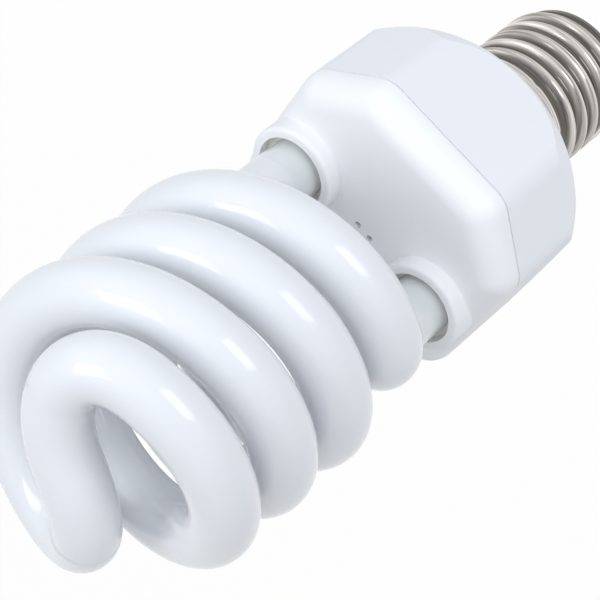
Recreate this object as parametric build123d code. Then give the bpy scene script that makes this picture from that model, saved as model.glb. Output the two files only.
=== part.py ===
from build123d import *
import math
import os

# Compact fluorescent bulb with a double spiral tube, a two-part ballast housing and a screw cap.
# Millimetres. Z runs along the lamp from the centre contact at 0 to the tip of the tube.

# Screw cap
crestRadius = 13.1
threadDepth = 1.0
threadPitch = 3.63
capEndRadius = 10.4
capMouth = 9.8
capEnd = 5.0
threadStart = 6.8
threadEnd = 26.6
skirtEnd = 32.0
skirtRadius = 13.1
capSheet = 0.45
contactRadius = 4.6
contactThickness = 1.3
insulatorTop = 8.0
dimpleRadius = 1.3
dimpleDepth = 0.3
dimpleTurn = 5.0
dimpleRise = 4.0

# Housing
wall = 1.6
flatDistance = 24.5
flatHalfWidth = 13.4
cornerRadius = 5.2
housingTurn = 6.5
seam = 62.0
seamGroove = 0.35
neckRingRadius = 14.4
neckRingEnd = 34.2
domeFoot = 15.6
domeMiddle = (25.0, 41.6)
rimRadius = 28.2
rimHeight = 49.5
neckFit = 0.06
neckBottom = 27.5
neckWall = 1.5
holderEnd = 68.0
holderRounding = 5.0
collarEnd = 71.0
collarWall = 1.7
collarGap = 1.2
sleeveEnd = 63.0
cementEnd = 69.2
cementFit = 0.03
ventRadius = 0.6
ventSpacing = 3.0

# Spiral tube
tubeRadius = 5.45
spiralRadius = 21.4
spiralPitch = 27.3
spiralBase = 86.95
legRadius = 15.5
legTurn = 6.3
legEnd = 62.4
legBend = 79.5
bendTurn = 38.0
spiralTurn = 628.7
crossHandle = 11.5
crossTurn = 53.7
crossReach = 14.5
crossRise = 5.4

# Ballast
boardTop = 56.6
boardThickness = 1.6
boardRadius = 21.0
leadRadius = 0.35
leadFit = 0.12
solderRoom = 0.4
solderFit = 0.02
capacitorRadius = 5.0
capacitorLength = 20.0
chokePlace = (-12.6, 2.0)
chokeWidth = 13.0
chokeHeight = 12.0
chokeDepth = 5.5
chokeLeg = 2.0
chokeWindow = 2.5
chokeWindowHeight = 7.5
bobbinSheet = 0.5
toroidPlace = (10.5, 11.0)
toroidRadius = 4.5
toroidHole = 2.4
toroidHeight = 4.0
toroidWire = 0.6
transistorSize = (7.6, 2.8, 10.0)
transistorPlaces = ((6.0, -13.8), (-5.6, -13.8))
transistorStand = 2.0
diodeRadius = 1.35
diodeLength = 5.0
diodePlaces = ((13.8, -7.0), (13.8, -3.6), (13.8, -0.2), (13.8, 3.2))
filmSizes = ((9.0, 4.0, 9.0), (7.0, 4.0, 8.0), (8.0, 4.0, 9.0))
filmPlaces = ((-8.4, 13.6), (1.2, 13.6), (-13.2, -8.2))
resistorRadius = 0.95
resistorLength = 4.4
resistorPlaces = ((-3.2, -7.4), (4.9, -7.4), (-3.2, -10.2))
starterPlace = (4.9, -10.2)
starterLength = 3.8
fuseRadius = 1.6
fuseLength = 9.0
fuseBottom = 17.5
supplyWire = 0.5
contactWirePlace = (6.7, 0.0)
shellWirePlace = (-2.6, 8.8)
postSide = 0.8
postInset = 7.5
postSpread = 2.8
postEnd = 62.0
filamentWire = 0.25
filamentSpread = 1.8
supportPlaces = (62.0, 118.0, 242.0, 298.0)
supportCircle = 19.4
supportRadius = 1.3

# Sizes that follow
rootRadius = crestRadius - threadDepth
threadBore = rootRadius - capSheet
boardBottom = boardTop - boardThickness
collarBore = tubeRadius + collarGap
collarRadius = collarBore + collarWall
neckOuter = skirtRadius - capSheet - neckFit
legAngle = math.radians(legTurn)
legX = legRadius * math.cos(legAngle)
legY = legRadius * math.sin(legAngle)
postX = legRadius - postInset
postPlaces = [(x, y) for x in (postX, -postX) for y in (postSpread, -postSpread)]
contactHole = leadRadius + solderRoom


def tubeCentre(turn):
    """Place on one strand's helix: radius and climb are constant."""
    angle = legAngle + math.radians(turn)
    height = spiralBase + spiralPitch * turn / 360
    return Vector(spiralRadius * math.cos(angle), spiralRadius * math.sin(angle), height)


def tubeDirection(turn):
    """Unit tangent of the helix."""
    angle = legAngle + math.radians(turn)
    climb = spiralPitch / (2 * math.pi * spiralRadius)
    return Vector(-math.sin(angle), math.cos(angle), climb).normalized()


def bendEdge():
    """Curve from the straight leg into the spiral."""
    start = Vector(legX, legY, legBend)
    join = tubeCentre(bendTurn)
    handle = (join - start).length * 0.45
    return Edge.make_bezier(start, start + Vector(0, 0, handle), join - tubeDirection(bendTurn) * handle, join)


def crossEdge():
    """Curve from the spiral's end to the lamp's axis at the tip."""
    last = tubeCentre(spiralTurn)
    middle = Vector(0, 0, last.Z + crossRise)
    angle = legAngle + math.radians(spiralTurn + crossTurn)
    reach = Vector(math.cos(angle), math.sin(angle), 0) * crossReach
    return Edge.make_bezier(last, last + tubeDirection(spiralTurn) * crossHandle, middle + reach, middle)


def tubePath():
    """Leg, bend, helix and half the crossover, then the same turned half a turn about Z."""
    turns = spiralTurn - bendTurn
    spiral = Helix(spiralPitch, spiralPitch * turns / 360, spiralRadius)
    spiral = Pos(0, 0, tubeCentre(bendTurn).Z) * Rot(0, 0, legTurn + bendTurn) * spiral
    leg = Edge.make_line((legX, legY, legEnd), (legX, legY, legBend))
    half = [leg, bendEdge(), spiral.edge(), crossEdge()]
    return Wire(half + [edge.rotate(Axis.Z, 180) for edge in half])


def spiralTube():
    path = tubePath()
    body = sweep(Plane(origin=path @ 0, z_dir=(0, 0, 1)) * Circle(tubeRadius), path=path)
    return fillet(body.edges().group_by(Axis.Z)[0], tubeRadius * 0.3)


def housingSection(inset):
    """Square with cut corners: the housing's outline seen along the lamp."""
    flat = flatDistance - inset
    half = flatHalfWidth - inset * math.tan(math.pi / 8)
    corners = []
    for k in range(4):
        for x, y in ((flat, -half), (flat, half)):
            angle = math.radians(housingTurn + 90 * k)
            across = x * math.cos(angle) - y * math.sin(angle)
            corners.append((across, x * math.sin(angle) + y * math.cos(angle)))
    outline = Polygon(*corners, align=None)
    return fillet(outline.vertices(), max(cornerRadius - inset * 0.5, 0.6))


def domeProfile(inset):
    """Half section of the cover's cap side, from the neck to the rim and up to the seam."""
    foot = (domeFoot - inset, neckRingEnd + inset * 0.35)
    middle = (domeMiddle[0] - inset * 0.7, domeMiddle[1] + inset * 0.7)
    rim = (rimRadius - inset, rimHeight)
    top = seam + 1
    with BuildSketch(Plane.XZ) as half:
        with BuildLine():
            Line((0, foot[1]), foot)
            ThreePointArc(foot, middle, rim)
            Polyline(rim, (rim[0], top), (0, top), (0, foot[1]))
        make_face()
    return half.sketch


def coverBody(inset):
    """Eight-sided prism cut to the round dome."""
    prism = extrude(Plane.XY.offset(neckBottom) * housingSection(inset), seam - neckBottom)
    return prism & revolve(domeProfile(inset), Axis.Z)


def ballastCover():
    neck = Pos(0, 0, neckBottom) * Cylinder(neckOuter, 10, align=(Align.CENTER, Align.CENTER, Align.MIN))
    ring = Pos(0, 0, skirtEnd) * Cylinder(
        neckRingRadius, neckRingEnd - skirtEnd + 0.6, align=(Align.CENTER, Align.CENTER, Align.MIN)
    )
    ring = fillet(ring.edges().group_by(Axis.Z)[0], 0.5)
    bore = Pos(0, 0, neckBottom - 1) * Cylinder(
        neckOuter - neckWall, 14, align=(Align.CENTER, Align.CENTER, Align.MIN)
    )
    hollow = coverBody(wall)
    body = coverBody(0) + neck + ring - hollow - bore
    for angle in supportPlaces:
        place = Rot(0, 0, angle) * Pos(supportCircle, 0, neckBottom)
        rib = place * Box(2.6, 1.4, boardBottom - neckBottom, align=(Align.CENTER, Align.CENTER, Align.MIN))
        rib = rib & coverBody(wall * 0.5)
        body = body + rib
    return body


def holderBody(inset):
    """Tube side of the housing: a short eight-sided cup with a rounded end."""
    height = holderEnd - inset - seam
    cup = extrude(Plane.XY.offset(seam) * housingSection(inset), height)
    return fillet(cup.edges().group_by(Axis.Z)[-1], holderRounding - inset)


def tubeHolder():
    body = holderBody(0)
    for side in (1, -1):
        collar = Plane.XY.offset(sleeveEnd) * Pos(side * legX, side * legY) * Circle(collarRadius)
        collar = extrude(collar, collarEnd - sleeveEnd)
        collar = fillet(collar.edges().sort_by(Axis.Z)[-1], collarWall * 0.45)
        body = body + collar
    inside = holderBody(wall)
    for side in (1, -1):
        sleeve = Plane.XY.offset(sleeveEnd) * Pos(side * legX, side * legY) * Circle(collarRadius)
        inside = inside - extrude(sleeve, collarEnd - sleeveEnd)
    body = body - inside
    for side in (1, -1):
        bore = Plane.XY.offset(seam - 1) * Pos(side * legX, side * legY) * Circle(collarBore)
        body = body - extrude(bore, collarEnd - seam + 2)
        vent = Plane.XY.offset(seam) * Pos(side * ventSpacing / 2, 0) * Circle(ventRadius)
        body = body - extrude(vent, collarEnd - seam)
    for angle in supportPlaces:
        foot = Plane.XY.offset(boardTop) * Rot(0, 0, angle) * Pos(supportCircle, 0) * Circle(supportRadius)
        body = body + extrude(foot, holderEnd - wall * 0.5 - boardTop)
    lip = Plane.XY.offset(seam) * (housingSection(0) - housingSection(seamGroove))
    return body - extrude(lip, seamGroove)


def capShell():
    endRadius = rootRadius - 0.08  # just inside the thread's root
    foot = 0.15  # the ridge's depth in the core
    climb = threadEnd - threadStart - 0.9 * threadPitch
    line = Helix(threadPitch, climb, rootRadius, center=(0, 0, threadStart + 0.45 * threadPitch))
    half = 0.42 * threadPitch
    with BuildSketch(Plane(origin=line @ 0, x_dir=(1, 0, 0), z_dir=(0, -1, 0))) as ridge:
        with BuildLine():
            ThreePointArc((-foot, -half), (threadDepth, 0), (-foot, half))
            Line((-foot, half), (-foot, -half))
        make_face()
    length = threadEnd - threadStart
    core = Pos(0, 0, threadStart) * Cylinder(rootRadius, length, align=(Align.CENTER, Align.CENTER, Align.MIN))
    thread = core + sweep(ridge.sketch, path=line, is_frenet=True)
    skirt = Pos(0, 0, threadEnd) * Cylinder(
        skirtRadius, skirtEnd - threadEnd, align=(Align.CENTER, Align.CENTER, Align.MIN)
    )
    skirt = chamfer(skirt.edges().group_by(Axis.Z)[0], skirtRadius - endRadius)
    outer = (rootRadius - 0.45, capEnd + 0.5)
    inner = (rootRadius - 0.45 - capSheet * 0.7, capEnd + 0.5 + capSheet * 0.7)
    with BuildSketch(Plane.XZ) as half:
        with BuildLine():
            Line((capMouth, capEnd), (capEndRadius, capEnd))
            ThreePointArc((capEndRadius, capEnd), outer, (endRadius, threadStart))
            Line((endRadius, threadStart), (threadBore, threadStart))
            ThreePointArc((threadBore, threadStart), inner, (capEndRadius, capEnd + capSheet))
            Polyline((capEndRadius, capEnd + capSheet), (capMouth, capEnd + capSheet), (capMouth, capEnd))
        make_face()
    end = revolve(half.sketch, Axis.Z)
    bottom = (Align.CENTER, Align.CENTER, Align.MIN)
    bore = Pos(0, 0, threadStart) * Cylinder(threadBore, skirtEnd, align=bottom)
    wide = Pos(0, 0, neckBottom) * Cylinder(skirtRadius - capSheet, skirtEnd, align=bottom)
    body = end + (thread + skirt - bore - wide)
    for k in range(8):
        angle = 45 * k + dimpleTurn
        dent = Rot(0, 0, angle) * Pos(skirtRadius + dimpleRadius - dimpleDepth, 0, skirtEnd - dimpleRise) * Sphere(dimpleRadius)
        body = body - dent
    return body


def capInsulator():
    """Glass button: it fills the shell's end and narrows to the contact."""
    reach = capMouth - 0.03
    inner = threadBore - 0.05
    floor = capEnd + capSheet + 0.01
    with BuildSketch(Plane.XZ) as half:
        with BuildLine():
            Line((0, contactThickness), (contactRadius + 0.5, contactThickness))
            ThreePointArc((contactRadius + 0.5, contactThickness), (8.0, 2.6), (reach, capEnd))
            Polyline((reach, capEnd), (reach, floor), (capEndRadius - 0.1, floor), (inner, threadStart))
            Polyline((inner, threadStart), (inner, insulatorTop), (0, insulatorTop), (0, contactThickness))
        make_face()
    body = revolve(half.sketch, Axis.Z)
    hole = Cylinder(contactHole, insulatorTop + 1, align=(Align.CENTER, Align.CENTER, Align.MIN))
    return body - hole


def centreContact():
    disc = Cylinder(contactRadius, contactThickness, align=(Align.CENTER, Align.CENTER, Align.MIN))
    disc = fillet(disc.edges().group_by(Axis.Z)[0], 0.9)
    hole = Cylinder(contactHole, contactThickness + 1, align=(Align.CENTER, Align.CENTER, Align.MIN))
    return disc - hole


def contactSolder():
    """Solder that closes the contact's hole around the fuse resistor's wire."""
    height = contactThickness + 0.6
    plug = Cylinder(contactHole - solderFit, height, align=(Align.CENTER, Align.CENTER, Align.MIN))
    wire = Pos(0, 0, 0.6) * Cylinder(leadRadius + solderFit, height, align=(Align.CENTER, Align.CENTER, Align.MIN))
    return plug - wire


def drop(x, y, low, high, radius=leadRadius):
    """A straight wire parallel to the lamp."""
    return extrude(Plane.XY.offset(low) * Pos(x, y) * Circle(radius), high - low)


def leadPlaces():
    """Every place where a component's wire passes through the board."""
    places = [(0, 2.5), (0, -2.5)]
    places += [(chokePlace[0] + dx, chokePlace[1] - 4.4) for dx in (-3.4, 3.4)]
    for x, y in transistorPlaces:
        places += [(x + dx, y) for dx in (-2.3, 0, 2.3)]
    for x, y in diodePlaces:
        places += [(x - diodeLength / 2 - 1.3, y), (x + diodeLength / 2 + 1.3, y)]
    for (x, y), size in zip(filmPlaces, filmSizes):
        places += [(x - size[0] * 0.32, y), (x + size[0] * 0.32, y)]
    for x, y in resistorPlaces + (starterPlace,):
        places += [(x - resistorLength / 2 - 1.1, y), (x + resistorLength / 2 + 1.1, y)]
    return places + [contactWirePlace, shellWirePlace]


def circuitBoard():
    board = extrude(Plane.XY.offset(boardBottom) * Circle(boardRadius), boardThickness)
    for x, y in leadPlaces():
        wide = supplyWire if (x, y) in (contactWirePlace, shellWirePlace) else leadRadius
        board = board - drop(x, y, boardBottom - 1, boardTop + 1, wide + leadFit)
    for x, y in postPlaces:
        side = postSide + leadFit
        board = board - Pos(x, y, boardBottom) * Box(side, side, 9)
    return board


def solderJoints():
    joints = []
    for x, y in leadPlaces():
        wide = 1.0 if (x, y) in (contactWirePlace, shellWirePlace) else 0.72
        foot = Plane.XY.offset(boardTop) * Pos(x, y) * Circle(wide)
        joints.append(extrude(foot, 0.6, taper=30))
    return Compound(children=joints)


def standing(x, y, size, stand):
    """A box component under the board, its wires at both ends."""
    body = Pos(x, y, boardBottom - stand - size[2]) * Box(*size, align=(Align.CENTER, Align.CENTER, Align.MIN))
    body = fillet(body.edges(), 0.5)
    return body


def axialPart(x, y, radius, length, reach):
    """A component that lies under the board with its wires bent up into it."""
    height = boardBottom - radius - 0.3
    body = Pos(x, y, height) * Rot(0, 90, 0) * Cylinder(radius, length)
    body = fillet(body.edges(), radius * 0.3)
    span = length / 2 + reach
    wire = Pos(x, y, height) * Rot(0, 90, 0) * Cylinder(leadRadius, 2 * span)
    body = body + wire
    for side in (1, -1):
        body = body + drop(x + side * span, y, height, boardTop)
        body = body + Pos(x + side * span, y, height) * Sphere(leadRadius)
    return body


def mainCapacitor():
    top = boardBottom - 0.3
    can = Pos(0, 0, top - capacitorLength) * Cylinder(
        capacitorRadius, capacitorLength, align=(Align.CENTER, Align.CENTER, Align.MIN)
    )
    can = fillet(can.edges(), 0.8)
    groove = Pos(0, 0, top - 2.6) * Torus(capacitorRadius + 0.3, 0.7)
    can = can - groove
    for y in (2.5, -2.5):
        can = can + drop(0, y, top - 0.5, boardTop)
    return can


def chokePlaceAt(height):
    return Pos(chokePlace[0], chokePlace[1], boardBottom - 0.6 - height)


def chokeCore():
    core = Box(chokeWidth, chokeDepth, chokeHeight)
    centre = chokeWidth / 2 - chokeLeg - chokeWindow / 2
    for side in (1, -1):
        core = core - Pos(side * centre, 0, 0) * Box(chokeWindow, chokeDepth + 1, chokeWindowHeight)
    return chokePlaceAt(chokeHeight / 2) * core


def bobbinTube(extra, height):
    width = chokeWidth - 2 * chokeLeg - 2 * chokeWindow + 0.2 + 2 * extra
    return Box(width, chokeDepth + 0.2 + 2 * extra, height)


def chokeBobbin():
    height = chokeWindowHeight - 0.2
    flangeWidth = chokeWidth - 2 * chokeLeg - 0.2
    flangeDepth = chokeDepth + 5.6
    body = bobbinTube(bobbinSheet, height)
    for side in (1, -1):
        z = side * (height / 2 - bobbinSheet / 2)
        body = body + Pos(0, 0, z) * Box(flangeWidth, flangeDepth, bobbinSheet)
    body = body - bobbinTube(0, height + 1)
    body = chokePlaceAt(chokeHeight / 2) * body
    foot = boardBottom - 0.6 - chokeHeight / 2
    for dx in (-3.4, 3.4):
        x, y = chokePlace[0] + dx, chokePlace[1] - 4.4
        body = body + drop(x, y, foot + height / 2 - bobbinSheet / 2, boardTop)
    return body


def chokeWinding():
    height = chokeWindowHeight - 0.2 - 2 * bobbinSheet
    outer = Box(chokeWidth - 2 * chokeLeg - 0.8, chokeDepth + 4.6, height)
    outer = fillet(outer.edges().filter_by(Axis.Z), 1.2)
    return chokePlaceAt(chokeHeight / 2) * (outer - bobbinTube(bobbinSheet, height + 1))


def toroidCore():
    ring = Cylinder(toroidRadius, toroidHeight) - Cylinder(toroidHole, toroidHeight + 1)
    ring = fillet(ring.edges(), 0.4)
    return Pos(*toroidPlace, boardBottom - toroidWire - toroidHeight / 2) * ring


def toroidWindings():
    """Three coils wrapped round the ring's section."""
    across = toroidRadius - toroidHole
    middle = (toroidRadius + toroidHole) / 2
    coils = []
    for angle in (30, 150, 270):
        coil = Box(across + 2 * toroidWire, 2.4, toroidHeight + 2 * toroidWire)
        coil = fillet(coil.edges().filter_by(Axis.Y), 0.5)
        coil = Rot(0, 0, angle) * Pos(middle, 0, 0) * coil
        core = Cylinder(toroidRadius + 0.02, toroidHeight + 0.04) - Cylinder(toroidHole - 0.02, toroidHeight + 1)
        coils.append(Pos(*toroidPlace, boardBottom - toroidWire - toroidHeight / 2) * (coil - core))
    return Compound(children=coils)


def transistors():
    bodies = []
    for x, y in transistorPlaces:
        body = standing(x, y, transistorSize, transistorStand)
        hole = Pos(x, y, boardBottom - transistorStand - transistorSize[2] + 2.4) * Rot(90, 0, 0)
        body = body - hole * Cylinder(1.2, 9)
        for dx in (-2.3, 0, 2.3):
            body = body + drop(x + dx, y, boardBottom - transistorStand - 0.5, boardTop)
        bodies.append(body)
    return Compound(children=bodies)


def filmCapacitors():
    bodies = []
    for (x, y), size in zip(filmPlaces, filmSizes):
        body = standing(x, y, size, 0.3)
        for side in (1, -1):
            body = body + drop(x + side * size[0] * 0.32, y, boardBottom - 1, boardTop)
        bodies.append(body)
    return Compound(children=bodies)


def rectifierDiodes():
    return Compound(children=[axialPart(x, y, diodeRadius, diodeLength, 1.3) for x, y in diodePlaces])


def resistors():
    return Compound(children=[axialPart(x, y, resistorRadius, resistorLength, 1.1) for x, y in resistorPlaces])


def triggerDiode():
    reach = (resistorLength - starterLength) / 2 + 1.1
    return axialPart(*starterPlace, resistorRadius, starterLength, reach)


def wirePosts():
    posts = []
    for x, y in postPlaces:
        low = boardBottom - 0.5
        post = Box(postSide, postSide, postEnd - low, align=(Align.CENTER, Align.CENTER, Align.MIN))
        posts.append(Pos(x, y, low) * post)
    return Compound(children=posts)


def wireAlong(points, radius, first, last):
    path = Spline(*points, tangents=[first, last], tangent_scalars=[1, 1])
    return sweep(Plane(origin=path @ 0, z_dir=path % 0) * Circle(radius), path=path)


def filamentLeads():
    """Wires from the tube's two ends to the posts."""
    wires = []
    for x, y in postPlaces:
        side = 1 if x > 0 else -1
        startY = side * legY + math.copysign(filamentSpread, y)
        start = (side * (legX - 1.6), startY, legEnd)
        middle = (side * (legX - 3.2), (startY + y) / 2, legEnd - 1.9)
        end = (x + side * (postSide / 2 + 0.02), y, postEnd - 1.4)
        wires.append(wireAlong([start, middle, end], filamentWire, (0, 0, -1), (-side, 0, 0)))
    return Compound(children=wires)


def tubeCement():
    rings = []
    for side in (1, -1):
        plane = Plane.XY.offset(sleeveEnd) * Pos(side * legX, side * legY)
        ring = plane * (Circle(collarBore - cementFit) - Circle(tubeRadius + cementFit))
        rings.append(extrude(ring, cementEnd - sleeveEnd))
    return Compound(children=rings)


def fusibleResistor():
    middle = fuseBottom + fuseLength / 2
    body = Pos(0, 0, middle) * Cylinder(fuseRadius, fuseLength)
    body = fillet(body.edges(), 0.5)
    return body + drop(0, 0, 0.7, fuseBottom + 1)


def contactLead():
    x, y = contactWirePlace
    low = fuseBottom + fuseLength
    points = [(0, 0, low), (x * 0.3, y, low + 3.5), (x * 0.95, y, low + 8.5), (x, y, low + 15)]
    wire = wireAlong(points, supplyWire, (0, 0, 1), (0, 0, 1))
    return wire + drop(x, y, low + 15, boardTop, supplyWire)


def shellLead():
    """Supply wire that comes down inside the neck and meets the shell's wall under it."""
    x, y = shellWirePlace
    reach = (threadBore - supplyWire - 0.1) / math.hypot(x, y)
    low = Vector(x * reach, y * reach, neckBottom - 3)
    bend = Vector(x * 1.03, y * 1.03, neckBottom + 0.5)
    high = neckBottom + 11
    wire = wireAlong([low, bend, (x, y, high)], supplyWire, (bend - low).normalized(), (0, 0, 1))
    return wire + drop(x, y, high, boardTop, supplyWire)


pieces = {
    "spiral_tube": spiralTube,
    "tube_holder": tubeHolder,
    "ballast_cover": ballastCover,
    "cap_shell": capShell,
    "cap_insulator": capInsulator,
    "centre_contact": centreContact,
    "contact_solder": contactSolder,
    "circuit_board": circuitBoard,
    "solder_joints": solderJoints,
    "main_capacitor": mainCapacitor,
    "choke_core": chokeCore,
    "choke_bobbin": chokeBobbin,
    "choke_winding": chokeWinding,
    "toroid_core": toroidCore,
    "toroid_windings": toroidWindings,
    "transistors": transistors,
    "rectifier_diodes": rectifierDiodes,
    "film_capacitors": filmCapacitors,
    "resistors": resistors,
    "trigger_diode": triggerDiode,
    "wire_posts": wirePosts,
    "filament_leads": filamentLeads,
    "tube_cement": tubeCement,
    "fusible_resistor": fusibleResistor,
    "contact_lead": contactLead,
    "shell_lead": shellLead,
}

os.makedirs("parts", exist_ok=True)
for name, make in pieces.items():
    export_step(make(), f"parts/{name}.step")
    print("written", name)
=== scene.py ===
import bpy
import math
import numpy as np
from mathutils import Matrix, Vector


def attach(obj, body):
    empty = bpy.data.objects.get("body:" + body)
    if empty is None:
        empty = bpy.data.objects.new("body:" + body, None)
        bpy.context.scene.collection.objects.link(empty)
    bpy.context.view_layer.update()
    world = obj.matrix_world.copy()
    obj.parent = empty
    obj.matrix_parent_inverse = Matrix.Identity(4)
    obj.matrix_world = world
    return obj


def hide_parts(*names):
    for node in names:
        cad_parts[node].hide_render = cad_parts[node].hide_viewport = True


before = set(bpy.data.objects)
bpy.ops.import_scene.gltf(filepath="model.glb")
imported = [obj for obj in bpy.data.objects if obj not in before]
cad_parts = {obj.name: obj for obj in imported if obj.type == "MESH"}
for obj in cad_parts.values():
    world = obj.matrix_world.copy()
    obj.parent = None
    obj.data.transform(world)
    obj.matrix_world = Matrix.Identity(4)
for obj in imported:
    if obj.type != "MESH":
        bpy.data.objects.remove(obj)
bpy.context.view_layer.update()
print("frame loaded")

mm = 0.001  # the tube, the cap shell and the camera are worked out in millimetres


# Meshes

def meshFromGrid(name, rows, closedAlong=False, poles=None):
    # rows is a grid of points (along, around, 3); around always closes on itself.
    # Quads join neighbours of the grid; poles holds one point for each open end.
    along, around = rows.shape[:2]
    ring = np.arange(along if closedAlong else along - 1)[:, None]
    spoke = np.arange(around)[None, :]
    nextRing, nextSpoke = (ring + 1) % along, (spoke + 1) % around
    corners = [
        ring * around + spoke, ring * around + nextSpoke,
        nextRing * around + nextSpoke, nextRing * around + spoke,
    ]
    points = rows.reshape(-1, 3)
    faces = np.stack(corners, -1).reshape(-1, 4).tolist()
    if poles is not None:
        firstPole, lastPole = len(points), len(points) + 1
        points = np.concatenate([points, np.asarray(poles)])
        rim = np.arange(around)
        nextRim = (rim + 1) % around
        end = (along - 1) * around
        faces += np.stack([nextRim, rim, np.full(around, firstPole)], -1).tolist()
        faces += np.stack([end + rim, end + nextRim, np.full(around, lastPole)], -1).tolist()
    mesh = bpy.data.meshes.new(name)
    mesh.from_pydata((points * mm).tolist(), [], faces)
    mesh.polygons.foreach_set("use_smooth", np.ones(len(mesh.polygons), bool))
    piece = bpy.data.objects.new(name, mesh)
    bpy.context.scene.collection.objects.link(piece)
    return piece


# Finishes

finishes = {
    "phosphorGlass": dict(colour=(0.84, 0.857, 0.885), roughness=0.5, coat=1.0, coatRoughness=0.08),
    "holderPlastic": dict(colour=(0.95, 0.955, 0.965), roughness=0.42),
    "coverPlastic": dict(colour=(0.885, 0.895, 0.92), roughness=0.42),
    "nickel": dict(colour=(0.58, 0.555, 0.525), roughness=0.30, metallic=1.0),
    "blackGlass": dict(colour=(0.012, 0.012, 0.012), roughness=0.12),
    "contactBrass": dict(colour=(0.60, 0.47, 0.25), roughness=0.35, metallic=1.0),
    "solder": dict(colour=(0.60, 0.60, 0.60), roughness=0.30, metallic=1.0),
    "boardLaminate": dict(colour=(0.42, 0.30, 0.12), roughness=0.6),
    "capacitorSleeve": dict(colour=(0.01, 0.015, 0.05), roughness=0.3),
    "ferrite": dict(colour=(0.03, 0.03, 0.03), roughness=0.55),
    "bobbinPlastic": dict(colour=(0.03, 0.03, 0.03), roughness=0.5),
    "enamelledCopper": dict(colour=(0.55, 0.20, 0.06), roughness=0.35, metallic=1.0),
    "blackResin": dict(colour=(0.02, 0.02, 0.02), roughness=0.45),
    "dippedFilm": dict(colour=(0.35, 0.05, 0.02), roughness=0.3),
    "resistorLacquer": dict(colour=(0.30, 0.42, 0.38), roughness=0.45),
    "diodeGlass": dict(colour=(0.35, 0.10, 0.04), roughness=0.15),
    "tinnedWire": dict(colour=(0.66, 0.66, 0.66), roughness=0.3, metallic=1.0),
    "leadSleeve": dict(colour=(0.72, 0.72, 0.68), roughness=0.55),
    "cement": dict(colour=(0.78, 0.76, 0.70), roughness=0.8),
}


def finish(name, colour, roughness, metallic=0.0, coat=0.0, coatRoughness=0.05):
    material = bpy.data.materials.new(name)
    material.use_nodes = True
    shader = material.node_tree.nodes["Principled BSDF"]
    shader.inputs["Base Color"].default_value = (*colour, 1)
    shader.inputs["Roughness"].default_value = roughness
    shader.inputs["Metallic"].default_value = metallic
    shader.inputs["Coat Weight"].default_value = coat
    shader.inputs["Coat Roughness"].default_value = coatRoughness
    return material


materials = {name: finish(name, **values) for name, values in finishes.items()}


def vectorMath(tree, operation, source, by=None, socket="Vector"):
    # One vector operation on a source, with the fixed vector by where it takes two.
    node = tree.nodes.new("ShaderNodeVectorMath")
    node.operation = operation
    if by is not None:
        node.inputs[1].default_value = by
    tree.links.new(source, node.inputs[0])
    return node.outputs[socket]


def mapRange(tree, source, before=(0, 1), after=(0, 1), kind="LINEAR"):
    # Carries a value from the range before over to the range after.
    node = tree.nodes.new("ShaderNodeMapRange")
    node.interpolation_type = kind
    node.inputs["From Min"].default_value = before[0]
    node.inputs["From Max"].default_value = before[1]
    node.inputs["To Min"].default_value = after[0]
    node.inputs["To Max"].default_value = after[1]
    tree.links.new(source, node.inputs["Value"])
    return node.outputs["Result"]


def mixColours(tree, factor, colourAtZero, colourAtOne):
    # A blend of two colours: (1 - factor) * colourAtZero + factor * colourAtOne.
    node = tree.nodes.new("ShaderNodeMix")
    node.data_type = "RGBA"
    node.inputs["A"].default_value = (*colourAtZero, 1)
    node.inputs["B"].default_value = (*colourAtOne, 1)
    tree.links.new(factor, node.inputs["Factor"])
    return node.outputs["Result"]


nickelRootShadeAndLines = dict(
    rootRadius=0.0121, crestRadius=0.0129,  # metres, as the patterns read the pieces in metres
    # the colour at the thread's root is painted shade for its grooves; the fine lines are the plating's
    # own texture
    paintedRootShade=(0.135, 0.126, 0.112),
    lineStretch=(60, 60, 2600), lineDetail=3.0, noiseRange=(0.3, 0.7), shade=0.55, smooth=0.12,
)


def paintRootShadeAndLines(tree):
    # Painted shade: the plating's colour darkens from the crest of the thread to its root, by the
    # distance from the axis,
    #     # standing in for the shade in the thread's grooves. It also carries fine lines round it: noise
    #     that changes fast
    #     # along the axis and slowly round it.
    n = nickelRootShadeAndLines
    shader = tree.nodes["Principled BSDF"]
    where = tree.nodes.new("ShaderNodeTexCoord").outputs["Object"]
    fromAxis = vectorMath(tree, "LENGTH", vectorMath(tree, "MULTIPLY", where, (1, 1, 0)), socket="Value")
    height = mapRange(tree, fromAxis, (n["rootRadius"], n["crestRadius"]), kind="SMOOTHSTEP")
    # painted shade: the colour goes darker towards the root of the thread
    platingWithRootShade = mixColours(tree, height, n["paintedRootShade"], shader.inputs["Base Color"].default_value[:3])
    noise = tree.nodes.new("ShaderNodeTexNoise")
    noise.inputs["Scale"].default_value = 1.0  # lineStretch alone sets the scale
    noise.inputs["Detail"].default_value = n["lineDetail"]
    tree.links.new(vectorMath(tree, "MULTIPLY", where, n["lineStretch"]), noise.inputs["Vector"])
    lines = noise.outputs["Fac"]
    shade = mapRange(tree, lines, n["noiseRange"], (1 - n["shade"], 1 + n["shade"]))
    shaded = tree.nodes.new("ShaderNodeVectorMath")
    shaded.operation = "SCALE"
    tree.links.new(platingWithRootShade, shaded.inputs[0])
    tree.links.new(shade, shaded.inputs["Scale"])
    rough = mapRange(tree, lines, after=(n["smooth"], shader.inputs["Roughness"].default_value))
    tree.links.new(shaded.outputs["Vector"], shader.inputs["Base Color"])
    tree.links.new(rough, shader.inputs["Roughness"])


paintRootShadeAndLines(materials["nickel"].node_tree)

# the legs' greyer colour is partly uncoated glass and partly painted shade near the housing
legGlassAndShade = dict(low=0.0735, high=0.0795, colour=(0.76, 0.79, 0.785), roughness=0.16)  # metres


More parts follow.
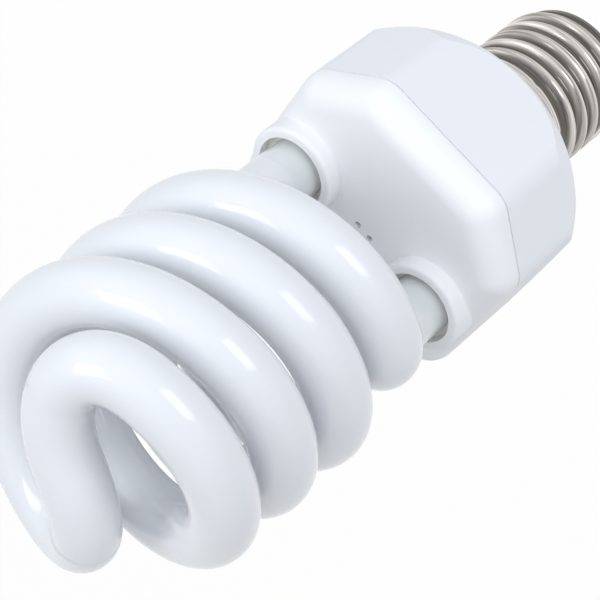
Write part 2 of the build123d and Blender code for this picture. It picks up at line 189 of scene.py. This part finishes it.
def clearAndShadeLegs(tree):
    # Below the first turn the coating thins out, so both legs show smoother glass in a greyer colour;
    # that grey is partly
    #     # painted shade, where the legs stand low between the housing and the turns. Colour and
    #     roughness change with the
    #     # height, over the few millimetres from low to high.
    g = legGlassAndShade
    shader = tree.nodes["Principled BSDF"]
    where = tree.nodes.new("ShaderNodeTexCoord").outputs["Object"]
    axes = tree.nodes.new("ShaderNodeSeparateXYZ")
    tree.links.new(where, axes.inputs[0])
    coated = mapRange(tree, axes.outputs["Z"], (g["low"], g["high"]), kind="SMOOTHSTEP")
    legTintAndShade = mixColours(tree, coated, g["colour"], shader.inputs["Base Color"].default_value[:3])
    rough = mapRange(tree, coated, after=(g["roughness"], shader.inputs["Roughness"].default_value))
    tree.links.new(legTintAndShade, shader.inputs["Base Color"])
    tree.links.new(rough, shader.inputs["Roughness"])


clearAndShadeLegs(materials["phosphorGlass"].node_tree)

nodeFinish = {
    "tube_holder": "holderPlastic", "ballast_cover": "coverPlastic", "cap_shell": "nickel",
    "cap_insulator": "blackGlass", "centre_contact": "contactBrass", "contact_solder": "solder",
    "circuit_board": "boardLaminate", "solder_joints": "solder", "main_capacitor": "capacitorSleeve",
    "choke_core": "ferrite", "choke_bobbin": "bobbinPlastic", "choke_winding": "enamelledCopper",
    "toroid_core": "ferrite", "toroid_windings": "enamelledCopper", "transistors": "blackResin",
    "rectifier_diodes": "blackResin", "film_capacitors": "dippedFilm", "resistors": "resistorLacquer",
    "trigger_diode": "diodeGlass", "wire_posts": "tinnedWire", "filament_leads": "tinnedWire",
    "tube_cement": "cement", "fusible_resistor": "resistorLacquer", "contact_lead": "leadSleeve",
    "shell_lead": "tinnedWire",
}
for node, name in nodeFinish.items():
    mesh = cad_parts[node].data
    mesh.materials.clear()
    mesh.materials.append(materials[name])
print("finishes set")


# Spiral tube

spiral = dict(
    tubeRadius=5.447, radius=21.4, pitch=27.3, base=86.95, turn=628.7,
    legRadius=15.5, legTurn=6.3, legEnd=62.4, legBend=79.5, bendTurn=38.0, bendHandle=0.45,
    crossHandle=11.5, crossTurn=53.7, crossReach=14.5, crossRise=5.4,
    legPoints=14, bendPoints=24, helixPoints=240, crossPoints=36, step=0.9, around=64,
    endRound=1.6, fadeStart=0.55, fadeWidth=0.15,  # the fade counts in shares of the helix's radius
)


def helixPoint(turn):
    # A helix: the angle and the height both grow evenly with the turn.
    angle = np.radians(spiral["legTurn"] + turn)
    height = spiral["base"] + spiral["pitch"] * turn / 360
    return np.stack([spiral["radius"] * np.cos(angle), spiral["radius"] * np.sin(angle), height], -1)


def helixDirection(turn):
    # Its direction: square to the radius, and climbing by the pitch over the length of one turn.
    angle = np.radians(spiral["legTurn"] + turn)
    climb = spiral["pitch"] / (2 * np.pi * spiral["radius"])
    direction = np.stack([-np.sin(angle), np.cos(angle), climb + 0 * angle], -1)
    return direction / math.hypot(1, climb)


def cubicCurve(start, startHandle, endHandle, end, steps):
    # Cubic Bezier curve from its four control points, its first point left out.
    t = np.arange(1, steps + 1)[:, None] / steps
    fromStart = (1 - t) ** 3 * start + 3 * t * (1 - t) ** 2 * startHandle
    return fromStart + 3 * t * t * (1 - t) * endHandle + t**3 * end


def strandPath():
    # Straight leg, bend, helix, then the curve to the middle of the crossover.
    s = spiral
    angle = math.radians(s["legTurn"])
    foot = np.array([s["legRadius"] * math.cos(angle), s["legRadius"] * math.sin(angle), s["legEnd"]])
    bendStart = foot + [0, 0, s["legBend"] - s["legEnd"]]
    leg = foot + np.linspace(0, 1, s["legPoints"])[:, None] * (bendStart - foot)
    join = helixPoint(np.float64(s["bendTurn"]))
    joinDirection = helixDirection(np.float64(s["bendTurn"]))
    handle = np.linalg.norm(join - bendStart) * s["bendHandle"]
    bend = cubicCurve(
        bendStart, bendStart + [0, 0, handle], join - joinDirection * handle, join, s["bendPoints"]
    )
    helix = helixPoint(np.linspace(s["bendTurn"], s["turn"], s["helixPoints"])[1:])
    last = helix[-1]
    lastDirection = helixDirection(np.float64(s["turn"]))
    middle = np.array([0, 0, last[2] + s["crossRise"]])
    reachAngle = math.radians(s["legTurn"] + s["turn"] + s["crossTurn"])
    reach = np.array([math.cos(reachAngle), math.sin(reachAngle), 0]) * s["crossReach"]
    cross = cubicCurve(
        last, last + lastDirection * s["crossHandle"], middle + reach, middle, s["crossPoints"]
    )
    return np.concatenate([leg, bend, helix, cross])


def evenPath(path, step):
    # The same line with points at even distances along it, and those distances.
    lengths = np.concatenate([[0], np.cumsum(np.linalg.norm(np.diff(path, axis=0), axis=1))])
    at = np.linspace(0, lengths[-1], int(lengths[-1] / step))
    return np.stack([np.interp(at, lengths, path[:, k]) for k in range(3)], -1), at


def tubeSurface():
    # A circle carried along the path: path + radius * (cos(angle) * first + sin(angle) * second).
    # first points away from the axis, or upwards in the crossover, made square to the path, and
    # second is square to both. At each end the radius draws in by a quarter circle.
    s = spiral
    strand = strandPath()
    path = np.concatenate([strand, strand[-2::-1] * [-1, -1, 1]])  # back down, half a turn round
    path, at = evenPath(path, s["step"])
    ahead = np.gradient(path, axis=0)
    ahead /= np.linalg.norm(ahead, axis=1)[:, None]
    outward = path * [1, 1, 0]
    distance = np.linalg.norm(outward, axis=1)[:, None]
    fade = np.clip((distance / s["radius"] - s["fadeStart"]) / s["fadeWidth"], 0, 1)
    fade = np.where(path[:, 2:3] < s["base"], 1, fade)
    reference = outward / np.maximum(distance, 1e-6) * fade + np.array([0, 0, 1]) * (1 - fade)
    first = reference - (reference * ahead).sum(1)[:, None] * ahead
    first /= np.linalg.norm(first, axis=1)[:, None]
    second = np.cross(ahead, first)
    fromEnd = np.clip(np.minimum(at, at[-1] - at) / s["endRound"], 0, 1)
    full = np.sqrt(np.clip(1 - (1 - fromEnd) ** 2, 0.0, 1))
    radius = (s["tubeRadius"] - s["endRound"] * (1 - full))[:, None, None]
    angle = np.linspace(0, 2 * np.pi, s["around"], endpoint=False)[None, :, None]
    rows = path[:, None] + radius * (np.cos(angle) * first[:, None] + np.sin(angle) * second[:, None])
    return meshFromGrid("glassTube", rows, poles=[path[0], path[-1]])


glassTube = tubeSurface()
glassTube.data.materials.append(materials["phosphorGlass"])
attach(glassTube, "root")
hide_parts("spiral_tube")
print("spiral tube done")


# Threaded cap shell

capThread = dict(
    depth=1.06, arc=1.03, pitch=3.63, firstCrest=8.43, start=6.8, end=26.6, top=25.7, fade=1.2,
    endRadius=12.02, mouth=9.8, lipRadius=10.4, low=5.0, sheet=0.45,
    skirtRadius=13.1, skirtEnd=32.0, skirtRise=1.1,
    dents=8, dentTurn=5.0, dentDepth=0.3, dentWidth=0.62, dentHeight=28.0,
    lipPoints=10, threadPoints=180, skirtPoints=36, around=200,
)


def smoothStep(x):
    # 0 up to x = 0, 1 from x = 1 on, and 3x^2 - 2x^3 between.
    x = np.clip(x, 0, 1)
    return x * x * (3 - 2 * x)


def threadWave(z, angle):
    # 1 on the crests and 0 at the roots. A crest moves up a pitch per turn. Two arcs of one radius
    # R meet half way down: drop = R - sqrt(R*R - x*x) from the crest, and the same up from the root.
    c = capThread
    turn = (z - c["firstCrest"]) / c["pitch"] - angle / (2 * np.pi)
    offCrest = np.abs(turn - np.round(turn)) * c["pitch"]
    fromEnd = np.minimum(offCrest, c["pitch"] / 2 - offCrest)
    drop = c["arc"] - np.sqrt(c["arc"] ** 2 - fromEnd**2)
    full = 2 * (c["arc"] - math.sqrt(c["arc"] ** 2 - (c["pitch"] / 4) ** 2))
    return np.where(offCrest < c["pitch"] / 4, full - drop, drop) / full


def crimpDents(z, angle):
    # Small round hollows at even angles round the skirt: depth * exp(-distance^2 / width^2).
    c = capThread
    spacing = 2 * np.pi / c["dents"]
    off = (angle - math.radians(c["dentTurn"]) + spacing / 2) % spacing - spacing / 2
    distanceSquared = (off * c["skirtRadius"]) ** 2 + (z - c["dentHeight"]) ** 2
    return c["dentDepth"] * np.exp(-distanceSquared / c["dentWidth"] ** 2)


def capShellSurface():
    # One closed profile turned round the axis: up the outside over a quarter round lip, the thread
    # and the skirt, then back down inside it, a sheet's thickness further in. The thread fades in
    # and out over the height fade.
    c = capThread
    angle = np.linspace(0, 2 * np.pi, c["around"], endpoint=False)[None, :]
    lipTurn = np.linspace(0, np.pi / 2, c["lipPoints"])
    lipRadius = c["lipRadius"] + (c["endRadius"] - c["lipRadius"]) * np.sin(lipTurn)
    lipHeight = c["low"] + (c["start"] - c["low"]) * (1 - np.cos(lipTurn))
    threadHeight = np.linspace(c["start"], c["end"], c["threadPoints"])[1:]
    skirtHeight = np.linspace(c["end"], c["skirtEnd"], c["skirtPoints"])[1:]
    z = np.concatenate([[c["low"]], lipHeight, threadHeight, skirtHeight])[:, None] + 0 * angle
    straight = np.full(len(threadHeight) + len(skirtHeight), c["endRadius"])
    plain = np.concatenate([[c["mouth"]], lipRadius, straight])[:, None]
    onThread = smoothStep((z - c["start"]) / c["fade"]) * smoothStep((c["top"] - z) / c["fade"])
    onSkirt = smoothStep((z - c["end"]) / c["skirtRise"])
    ridge = onThread * c["depth"] * threadWave(z, angle)
    outer = plain + ridge + onSkirt * (c["skirtRadius"] - c["endRadius"])
    outer = outer - crimpDents(z, angle)
    inner = (outer - c["sheet"])[::-1].copy()
    innerZ = z[::-1].copy()
    lip = slice(-c["lipPoints"] - 1, -1)
    inner[lip] = np.maximum(inner[lip], c["mouth"])
    innerZ[lip] += c["sheet"] * np.cos(lipTurn)[::-1, None]
    inner[-1] = c["mouth"]
    innerZ[-1] += c["sheet"]
    radius = np.concatenate([outer, inner])
    height = np.concatenate([z, innerZ])
    rows = np.stack([radius * np.cos(angle), radius * np.sin(angle), height], -1)
    return meshFromGrid("threadedShell", rows, closedAlong=True)


threadedShell = capShellSurface()
threadedShell.data.materials.append(materials["nickel"])
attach(threadedShell, "root")
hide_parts("cap_shell")
print("cap shell done")


# Sky and floor

studio = dict(
    lowSky=(0.24, 0.23, 0.21), highSky=(0.66, 0.695, 0.755), skyDirection=(-0.50, 0.62, 0.60), white=1.0,
)


def seesWhite(tree):
    # The greatest of three flags: 1 for camera, mirror and glass rays, 0 for all other rays.
    path = tree.nodes.new("ShaderNodeLightPath")
    seen = path.outputs["Is Camera Ray"]
    for ray in ("Is Glossy Ray", "Is Transmission Ray"):
        greater = tree.nodes.new("ShaderNodeMath")
        greater.operation = "MAXIMUM"
        tree.links.new(seen, greater.inputs[0])
        tree.links.new(path.outputs[ray], greater.inputs[1])
        seen = greater.outputs[0]
    return seen


def mixShaders(tree, factor, shaderAtZero, shaderAtOne, end):
    mix = tree.nodes.new("ShaderNodeMixShader")
    tree.links.new(factor, mix.inputs[0])
    tree.links.new(shaderAtZero.outputs[0], mix.inputs[1])
    tree.links.new(shaderAtOne.outputs[0], mix.inputs[2])
    tree.links.new(mix.outputs[0], end.inputs["Surface"])


def setSky():
    # Plain white where it is seen. The light it gives goes from lowSky to highSky by the share
    # 0.5 + 0.5 * cos(angle between the ray and skyDirection).
    world = bpy.data.worlds.new("studio")
    world.use_nodes = True
    tree = world.node_tree
    tree.nodes.clear()
    toward = tree.nodes.new("ShaderNodeTexCoord").outputs["Generated"]
    halfDirection = Vector(studio["skyDirection"]).normalized() * 0.5
    lifted = tree.nodes.new("ShaderNodeMath")
    lifted.operation = "ADD"
    lifted.inputs[1].default_value = 0.5
    tree.links.new(vectorMath(tree, "DOT_PRODUCT", toward, halfDirection, "Value"), lifted.inputs[0])
    light = tree.nodes.new("ShaderNodeBackground")
    sky = mixColours(tree, lifted.outputs[0], studio["lowSky"], studio["highSky"])
    tree.links.new(sky, light.inputs["Color"])
    white = tree.nodes.new("ShaderNodeBackground")
    white.inputs["Color"].default_value = (1, 1, 1, 1)
    white.inputs["Strength"].default_value = studio["white"]
    mixShaders(tree, seesWhite(tree), light, white, tree.nodes.new("ShaderNodeOutputWorld"))
    bpy.context.scene.world = world


floorSet = dict(height=-0.30, size=6.0, grey=0.92, roughness=0.9, glow=1.0, whiteShare=0.97)  # metres


def floorMaterial():
    # A matt floor that still takes a shadow: whiteShare of what is seen is plain white.
    material = bpy.data.materials.new("floorWhite")
    material.use_nodes = True
    tree = material.node_tree
    matt = tree.nodes["Principled BSDF"]
    matt.inputs["Base Color"].default_value = (floorSet["grey"],) * 3 + (1,)
    matt.inputs["Roughness"].default_value = floorSet["roughness"]
    matt.inputs["Specular IOR Level"].default_value = 0.0
    glow = tree.nodes.new("ShaderNodeEmission")
    glow.inputs["Strength"].default_value = floorSet["glow"]
    share = tree.nodes.new("ShaderNodeMath")
    share.operation = "MULTIPLY"
    share.inputs[1].default_value = floorSet["whiteShare"]
    tree.links.new(seesWhite(tree), share.inputs[0])
    mixShaders(tree, share.outputs[0], matt, glow, tree.nodes["Material Output"])
    return material


def floorPlate():
    side, low = floorSet["size"] / 2, floorSet["height"]
    corners = [(-side, -side, low), (side, -side, low), (side, side, low), (-side, side, low)]
    mesh = bpy.data.meshes.new("floor")
    mesh.from_pydata(corners, [], [(0, 1, 2, 3)])
    mesh.materials.append(floorMaterial())
    plate = bpy.data.objects.new("floor", mesh)
    bpy.context.scene.collection.objects.link(plate)
    return plate


setSky()
floor = floorPlate()
print("sky and floor done")


# Lamps

lampTarget = Vector((0, 0, 0.091))  # metres; the powers are in watts
lamps = {
    "leftLamp": dict(place=(-0.242, 0.136, 0.643), size=0.26, power=0.85, colour=(0.94, 0.97, 1.0)),
    "rightLamp": dict(place=(0.167, 0.589, 0.091), size=0.26, power=0.62, colour=(0.94, 0.97, 1.0)),
    "topLamp": dict(place=(-0.62, 0.20, 0.34), size=0.60, power=0.35, colour=(0.92, 0.96, 1.0)),
    "frontLamp": dict(
        place=(-0.03, 0.74, 0.67), size=0.50, power=1.5, colour=(0.97, 0.98, 1.0),
        mirrored=False,  # it fills the shadows and makes no streak on the glass
    ),
}


def hangLamp(name, place, size, power, colour, mirrored=True):
    data = bpy.data.lights.new(name, "AREA")
    data.shape = "RECTANGLE"
    data.size = size
    data.size_y = size
    data.energy = power
    data.color = colour
    lamp = bpy.data.objects.new(name, data)
    lamp.location = place
    lamp.rotation_euler = (lampTarget - lamp.location).to_track_quat("-Z", "Y").to_euler()
    lamp.visible_glossy = mirrored
    bpy.context.scene.collection.objects.link(lamp)


for name, values in lamps.items():
    hangLamp(name, **values)
print("lamps done")


# Camera

shot = dict(
    tilt=36.770, roll=38.937,  # degrees
    distance=358.855, across=-3.676, down=0.080, aim=91.0, lens=133.241, sensor=36,  # millimetres
    nearest=0.01,  # metres
)


def placeCamera():
    # The axis lies at an angle to the picture plane (tilt) and is turned in the picture (roll).
    # The camera stands back from the aim by the distance, and off it by across and down.
    tilt, roll = math.radians(shot["tilt"]), math.radians(shot["roll"])
    right = Vector((math.sin(roll), math.cos(roll) * math.sin(tilt), -math.cos(roll) * math.cos(tilt)))
    down = Vector((math.cos(roll), -math.sin(roll) * math.sin(tilt), math.sin(roll) * math.cos(tilt)))
    ahead = Vector((0, -math.cos(tilt), -math.sin(tilt)))
    aim = Vector((0, 0, shot["aim"]))
    place = aim - right * shot["across"] - down * shot["down"] - ahead * shot["distance"]
    data = bpy.data.cameras.new("photoCamera")
    data.lens = shot["lens"]
    data.sensor_width = shot["sensor"]
    data.clip_start = shot["nearest"]
    camera = bpy.data.objects.new("photoCamera", data)
    turned = Matrix((right, -down, -ahead)).transposed().to_4x4()
    camera.matrix_world = Matrix.Translation(place * mm) @ turned
    bpy.context.scene.collection.objects.link(camera)
    bpy.context.scene.camera = camera


placeCamera()
bpy.context.scene.view_settings.view_transform = "Standard"
print("camera set")
